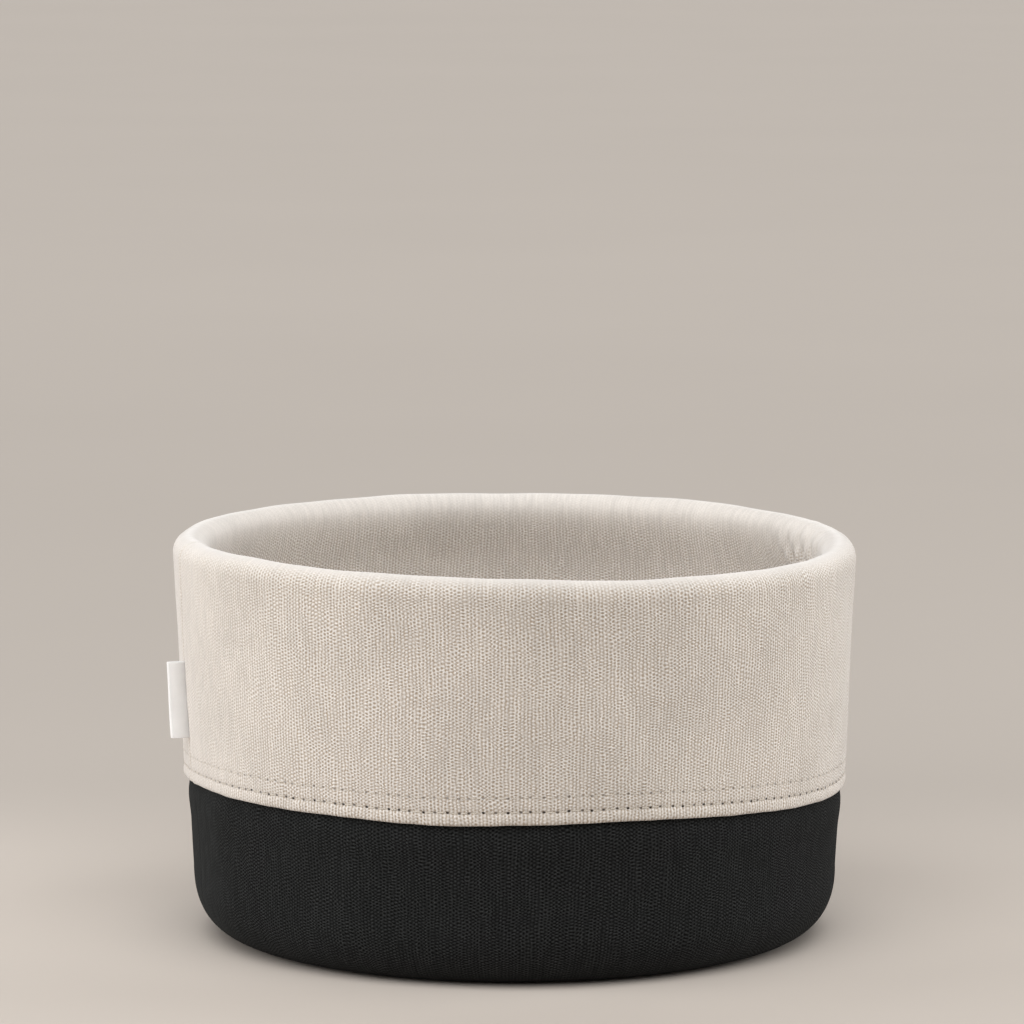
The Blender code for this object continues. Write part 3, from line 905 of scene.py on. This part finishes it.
def with_holes(w, place, colour, height):
    """The colour and the height with both rows of needle holes in them, fainter beside the side seam."""
    sewing = settings("bread_bag_sewing")
    # Holes are fainter beside the side seam: partly pressed cloth, partly a painted highlight
    open_share = seam_fade(w, place, *PRESS_AND_HIGHLIGHT_HOLES)
    for row, _, _, strength, crease in STITCH_ROWS:
        hole = w.effect(needle_holes(), {
            "Place": place, "Stitch": MAP_LENGTH / sewing.stitches, "Row": row, "Size": sewing.hole_size,
            "Stray": sewing.hole_stray, "Strength": w.math("MULTIPLY", open_share, strength)})
        # Holes and creases dent the cloth and darken it as painted shade
        pulled = w.chain(hole["Crease"], ("MULTIPLY", open_share), ("MULTIPLY", crease))
        colour = w.mixed(pulled, colour, tuple(sewing.crease_shade_colour))
        colour = w.mixed(hole["Hole"], colour, tuple(sewing.hole_colour))
        height = w.math("SUBTRACT", height, w.math("MULTIPLY_ADD", hole["Hole"], 1.5, pulled))
    return colour, height


def sewing_thread():
    """Cotton thread of two strands: a slanting wave on its own map, as height and as shade."""
    thread = tuple(settings("bread_bag_sewing").thread_colour)
    material, w, shader = new_material("sewing_thread", thread)
    x, y, _ = w.split(w.map_place())
    along, round_it = (math.tau / pitch for pitch in TWIST_PITCH)
    slant = w.math("MULTIPLY_ADD", x, along, w.math("MULTIPLY", y, round_it))
    twist = w.chain(slant, ("SINE",), ("MULTIPLY", 0.5), ("ADD", 0.5))
    fibre = w.effect(soft_patches(), {"Place": w.spot()})["Fibre"]
    shade = w.math("MULTIPLY_ADD", fibre, 0.2, w.math("MULTIPLY_ADD", twist, 0.25, 0.72))
    w.fill(shader.inputs, {
        "Base Color": w.shaded(thread, shade), "Roughness": w.math("MULTIPLY_ADD", twist, -0.1, 0.8),
        "Normal": w.bump(twist, 0.08 * MM), "Sheen Weight": 0.2, "Specular IOR Level": 0.3})
    return material


def woven_tape():
    """White tape: a fine weave of low contrast on its own map, with painted shade towards the seam."""
    tape = settings("bread_bag_tape")
    material, w, shader = new_material("woven_tape", tuple(tape.tape_colour))
    place = w.map_place()
    numbers = {"Column Pitch": tape.rib_pitch, "Row Pitch": tape.rib_pitch * 0.7, "Wander": 0.05 * MM,
               "Unevenness": 0.5}
    weave = w.effect(plain_weave(), {"Place": place, **numbers})
    patch = w.effect(soft_patches(), {"Place": w.spot(), "Patch Size": 6 * MM})["Patch"]
    # The tape's pits: partly their own colour, partly painted shade
    pits = w.math("MULTIPLY", weave["Pits"], 0.28)
    colour = w.mixed(pits, tuple(tape.tape_colour), tuple(tape.tape_pit_colour))
    # Painted shade where the tape turns into the seam
    from_fold = w.chain(w.split(place)[0], ("SUBTRACT", TAPE_FLAT / 2), ("ABSOLUTE",))
    shade = w.math("MULTIPLY", w.math("MULTIPLY_ADD", patch, 0.05, 0.955),
                   w.step(from_fold, 1.5 * MM, TAPE_FLAT / 2, 1.0, 0.88))
    w.fill(shader.inputs, {
        "Base Color": w.shaded(colour, shade), "Roughness": w.math("MULTIPLY_ADD", weave["Pits"], 0.1, 0.6),
        "Normal": w.bump(weave["Height"], 0.04 * MM), "Sheen Weight": 0.15, "Specular IOR Level": 0.35})
    return material


def pale_floor():
    """Matt pale floor with the faintest cloudiness and grain, a little darker behind the bag and beside it on
    the right as painted shade, and a little paler close round it as painted light."""
    stage = settings("bread_bag_stage")
    material, w, shader = new_material("pale_floor", tuple(stage.floor_colour))
    place = w.spot()
    across, behind, _ = w.split(place)
    grain = w.noise(place, 700.0, 2.0, False)
    cloud = w.noise(place, 3.0, 3.0, False)
    shade = w.math("MULTIPLY_ADD", cloud, 0.04, w.math("MULTIPLY_ADD", grain, 0.03, 0.965))
    # Painted light close round the bag, painted shade on its right and behind it
    close = w.step(w.vector("LENGTH", place, output="Value"), *FLOOR_ROUND, stage.close_floor, 1.0)
    beside = w.step(across, *FLOOR_ACROSS, FLOOR_LEFT, stage.right_floor)
    beside = w.step(behind, *FLOOR_BESIDE, beside, 1.0)
    far = w.math("ADD", w.step(behind, *FLOOR_BEHIND, 1.0, stage.mid_floor),
                 w.step(behind, *FLOOR_FAR, 0.0, stage.far_floor - stage.mid_floor))
    shade = w.chain(shade, ("MULTIPLY", close), ("MULTIPLY", beside), ("MULTIPLY", far))
    w.fill(shader.inputs, {
        "Base Color": w.shaded(tuple(stage.floor_colour), shade),
        "Roughness": w.math("MULTIPLY_ADD", grain, 0.1, 0.85), "Specular IOR Level": 0.2})
    return material


# ---- Operators


def hole_sines(number):
    """How far each needle hole strays along its row, from -1 to 1, and up from it, in metres."""
    return 0.5 * (np.sin(2.4 * number + 1.0) + np.sin(5.1 * number)), STITCH_WAVE * np.sin(1.7 * number)


def unit(vectors):
    """The same vectors, each of length 1."""
    return vectors / np.linalg.norm(vectors, axis=-1, keepdims=True)


class BREAD_BAG_OT_shell(bpy.types.Operator):
    """Make the black shell: its wall, which goes over the rim and into the cuff, and its round base"""

    bl_idname = "bread_bag.shell"
    bl_label = "Shell"

    def execute(self, context):
        cloth = canvas("shell_canvas", "shell")
        wall = wall_piece("shell_cloth", "shell_wall", shell_section(), SHELL_GOOD_ROWS,
                          SHELL_BACK_ROWS, SHELL_COLUMNS, shell_face, cloth)
        base = disc_piece("shell_base_cloth", "shell_base", 0.0, 0.0, cloth)
        return {"FINISHED"}


class BREAD_BAG_OT_lining(bpy.types.Operator):
    """Make the sand-coloured lining: its wall, folded down outside as a hemmed cuff, and its round base"""

    bl_idname = "bread_bag.lining"
    bl_label = "Lining"

    def execute(self, context):
        cloth = canvas("cuff_canvas", "lining", cuff=True)
        wall = wall_piece("lining_cloth", "lining_wall", lining_section(), LINING_GOOD_ROWS,
                          LINING_BACK_ROWS, LINING_COLUMNS, lining_face, cloth)
        base = disc_piece("lining_base_cloth", "lining_base", LAYER_PITCH, DISC_WAVES,
                          canvas("lining_canvas", "lining"))
        return {"FINISHED"}


class BREAD_BAG_OT_hem_stitches(bpy.types.Operator):
    """Make both rows of hem stitches: short threads that dip into the cloth at the needle holes"""

    bl_idname = "bread_bag.hem_stitches"
    bl_label = "Hem stitches"

    def execute(self, context):
        sewing = settings("bread_bag_sewing")
        section = lining_section()
        count, rings, sides = sewing.stitches, STITCH_RINGS, STITCH_SIDES
        number = np.arange(count)
        stray, level = hole_sines(number)
        hole = (number + 0.5 + sewing.hole_stray * stray) / count * math.tau
        after = np.append(hole[1:], hole[0] + math.tau)
        t = np.linspace(0.0, 1.0, rings)[None, :, None]
        turn = np.linspace(0.0, math.tau, sides, endpoint=False)[None, None, :]
        quads, fans = grid_faces(rings, sides), end_fans(rings, sides)
        all_points, faces, maps = [], [], []
        for place, _, size, *_ in STITCH_ROWS:
            radius = sewing.thread_radius * size
            angle = SEAM_ANGLE + hole[:, None, None] + (after - hole)[:, None, None] * (0.04 + 0.92 * t)
            along = place + level[:, None, None] * (1 - t) + np.roll(level, -1)[:, None, None] * t
            taper = radius * np.sin(math.pi * (0.06 + 0.88 * t)) ** 0.35
            proud = HALF_CLOTH - STITCH_DIP + (STITCH_DIP + radius * 0.25) * np.sin(math.pi * t) ** 0.5
            middle = lining_face(section, along, angle, proud)
            normal = unit(lining_face(section, along, angle, proud + SURFACE_STEP) - middle)
            upward = unit(lining_face(section, along + SURFACE_STEP, angle, proud) - middle)
            out, up = taper * np.cos(turn), taper * np.sin(turn)
            ring = middle + out[..., None] * normal + up[..., None] * upward
            points = np.concatenate((ring.reshape(count, -1, 3), middle[:, [0, -1], 0, :]), axis=1)
            start = sum(len(group) for group in all_points) + number[:, None, None] * points.shape[1]
            faces += [(quads + start).reshape(-1, 4), (fans + start).reshape(-1, 3)]
            flat = grid_map(np.linspace(0.0, math.tau * radius, sides + 1),
                            np.linspace(0.0, MAP_LENGTH / count, rings))[..., ::-1]
            maps += [np.tile(flat, (count, 1, 1)), np.zeros((len(fans) * count, 3, 2))]
            all_points.append(points.reshape(-1, 3))
        mesh_piece("hem_stitches", None, np.vstack(all_points), faces, maps, sewing_thread())
        return {"FINISHED"}


class BREAD_BAG_OT_side_tape(bpy.types.Operator):
    """Make the bare white tape, folded once, with both its ends in the side seam"""

    bl_idname = "bread_bag.side_tape"
    bl_label = "Side tape"

    def execute(self, context):
        fold = arc((TAPE_REACH - TAPE_SPREAD - TAPE_HALF, 0.0), TAPE_SPREAD, math.pi / 2, -math.pi / 2)
        plan = np.vstack(([(TAPE_ROOT, TAPE_SPREAD)], fold, [(TAPE_ROOT, -TAPE_SPREAD)]))
        section = Section(even_line(plan, 0.04 * MM), 0, 1)
        length = section.along[-1]
        bend = math.pi * TAPE_SPREAD / 2 + 0.3 * MM
        rows = spaced((0.0, 0.5 * MM), (length / 2 - bend, 0.12 * MM), (length / 2 + bend, 0.5 * MM),
                      (length, 0))
        good = spaced((TAPE_LOW + TAPE_HALF, 0.9 * MM), (TAPE_HIGH - TAPE_HALF, 0))
        height, share, mapped = strip_outline(good, good, TAPE_HALF)
        reach, side = section.read(rows[:, None], share[None, :] * TAPE_HALF)
        up_share = (height[None, :] - TAPE_LOW) / (TAPE_HIGH - TAPE_LOW)
        out_share = np.clip(reach / TAPE_REACH, 0.0, 1.0)
        belly = TAPE_BELLY * np.sin(math.pi * out_share**1.2) * (0.85 + 0.15 * np.cos(7 * up_share))
        side = side + np.sign(side) * belly + TAPE_TWIST * out_share**2 * (up_share - 0.45)
        reach = reach + out_share * TAPE_WAVE * np.sin(5.5 * up_share + 0.6)
        out, up = unevenness(SEAM_ANGLE, (TAPE_LOW + TAPE_HIGH) / 2)
        radius = cuff_face_radius(height)[None, :] + out + dents(SEAM_ANGLE, height)[None, :] + reach
        points = np.stack(np.broadcast_arrays(
            radius * math.cos(SEAM_ANGLE) - side * math.sin(SEAM_ANGLE),
            radius * math.sin(SEAM_ANGLE) + side * math.cos(SEAM_ANGLE), height[None, :] + up), -1)
        caps = end_fans(len(rows), len(height))
        tape = mesh_piece("side_tape", "side_label",
                          np.vstack((points.reshape(-1, 3), points[[0, -1]].mean(axis=1))),
                          [grid_faces(len(rows), len(height)), caps],
                          [grid_map(mapped, rows)[..., ::-1], np.zeros((len(caps), 3, 2))], woven_tape())
        return {"FINISHED"}


def soft_light(kind, name, towards, place, strength, **choices):
    """A light that shines against the way given, and that no camera sees."""
    lamp = bpy.data.lights.new(name, kind)
    lamp.energy = strength * settings("bread_bag_stage").light_strength
    for label, value in choices.items():
        setattr(lamp, label, value)
    light = bpy.data.objects.new(name, lamp)
    light.location = place
    light.rotation_euler = Vector(towards).to_track_quat("Z", "Y").to_euler()
    light.visible_camera = False
    bpy.context.scene.collection.objects.link(light)


class BREAD_BAG_OT_stage(bpy.types.Operator):
    """Make the floor, the soft lights and the camera"""

    bl_idname = "bread_bag.stage"
    bl_label = "Stage"

    def execute(self, context):
        stage = settings("bread_bag_stage")
        half = FLOOR_HALF
        mesh = bpy.data.meshes.new("floor")
        mesh.from_pydata([(-half, -half, 0), (half, -half, 0), (half, half, 0), (-half, half, 0)], [],
                         [(0, 1, 2, 3)])
        mesh.materials.append(pale_floor())
        floor = bpy.data.objects.new("floor", mesh)
        context.scene.collection.objects.link(floor)

        world = bpy.data.worlds.new("surround")
        world.use_nodes = True
        sky = world.node_tree.nodes["Background"]
        sky.inputs["Color"].default_value = tuple(stage.sky_colour)
        sky.inputs["Strength"].default_value = stage.sky_strength
        context.scene.world = world
        for name, place, size, power in SOFT_BOXES:
            soft_light("AREA", name, Vector(place) - Vector(LIT_SPOT), place, power, size=size)
        for name, towards, width, strength in FAR_LIGHTS:
            soft_light("SUN", name, towards, (0.0, 0.0, 0.0), strength, angle=math.radians(width))

        lens = bpy.data.cameras.new("photo_camera")
        lens.lens = CAMERA_LENS
        lens.sensor_width = CAMERA_SENSOR
        lens.clip_start, lens.clip_end = CAMERA_CLIP
        camera = bpy.data.objects.new("photo_camera", lens)
        camera.location = CAMERA_PLACE
        camera.rotation_euler = CAMERA_TURN
        context.scene.collection.objects.link(camera)
        context.scene.camera = camera
        context.scene.view_settings.view_transform = "Standard"
        context.scene.view_settings.look = "None"
        return {"FINISHED"}


class BREAD_BAG_PT_panel(bpy.types.Panel):
    """Sidebar panel with the bag's settings and operators"""

    bl_label = "Bread Bag"
    bl_space_type = "VIEW_3D"
    bl_region_type = "UI"
    bl_category = "Bread Bag"

    def draw(self, context):
        for name in SETTINGS:
            box = self.layout.box()
            group = settings(name)
            for label in group.bl_rna.properties.keys():
                if label not in ("rna_type", "name"):
                    box.prop(group, label)
        for operator in OPERATORS:
            self.layout.operator(operator.bl_idname)


SETTINGS = {
    "bread_bag_cloth": BagClothSettings,
    "bread_bag_sewing": BagSewingSettings,
    "bread_bag_tape": BagTapeSettings,
    "bread_bag_stage": BagStageSettings,
}
OPERATORS = (
    BREAD_BAG_OT_shell,
    BREAD_BAG_OT_lining,
    BREAD_BAG_OT_hem_stitches,
    BREAD_BAG_OT_side_tape,
    BREAD_BAG_OT_stage,
)


def register():
    """Add the settings, operators and panel to Blender."""
    for name, group in SETTINGS.items():
        bpy.utils.register_class(group)
        setattr(bpy.types.Scene, name, PointerProperty(type=group))
    for operator in OPERATORS:
        bpy.utils.register_class(operator)
    bpy.utils.register_class(BREAD_BAG_PT_panel)


def unregister():
    """Take them away again."""
    bpy.utils.unregister_class(BREAD_BAG_PT_panel)
    for operator in reversed(OPERATORS):
        bpy.utils.unregister_class(operator)
    for name, group in reversed(SETTINGS.items()):
        delattr(bpy.types.Scene, name)
        bpy.utils.unregister_class(group)


def main():
    """Build every piece."""
    register()
    bpy.ops.bread_bag.shell()
    bpy.ops.bread_bag.lining()
    bpy.ops.bread_bag.hem_stitches()
    bpy.ops.bread_bag.side_tape()
    bpy.ops.bread_bag.stage()


if __name__ == "__main__":
    main()
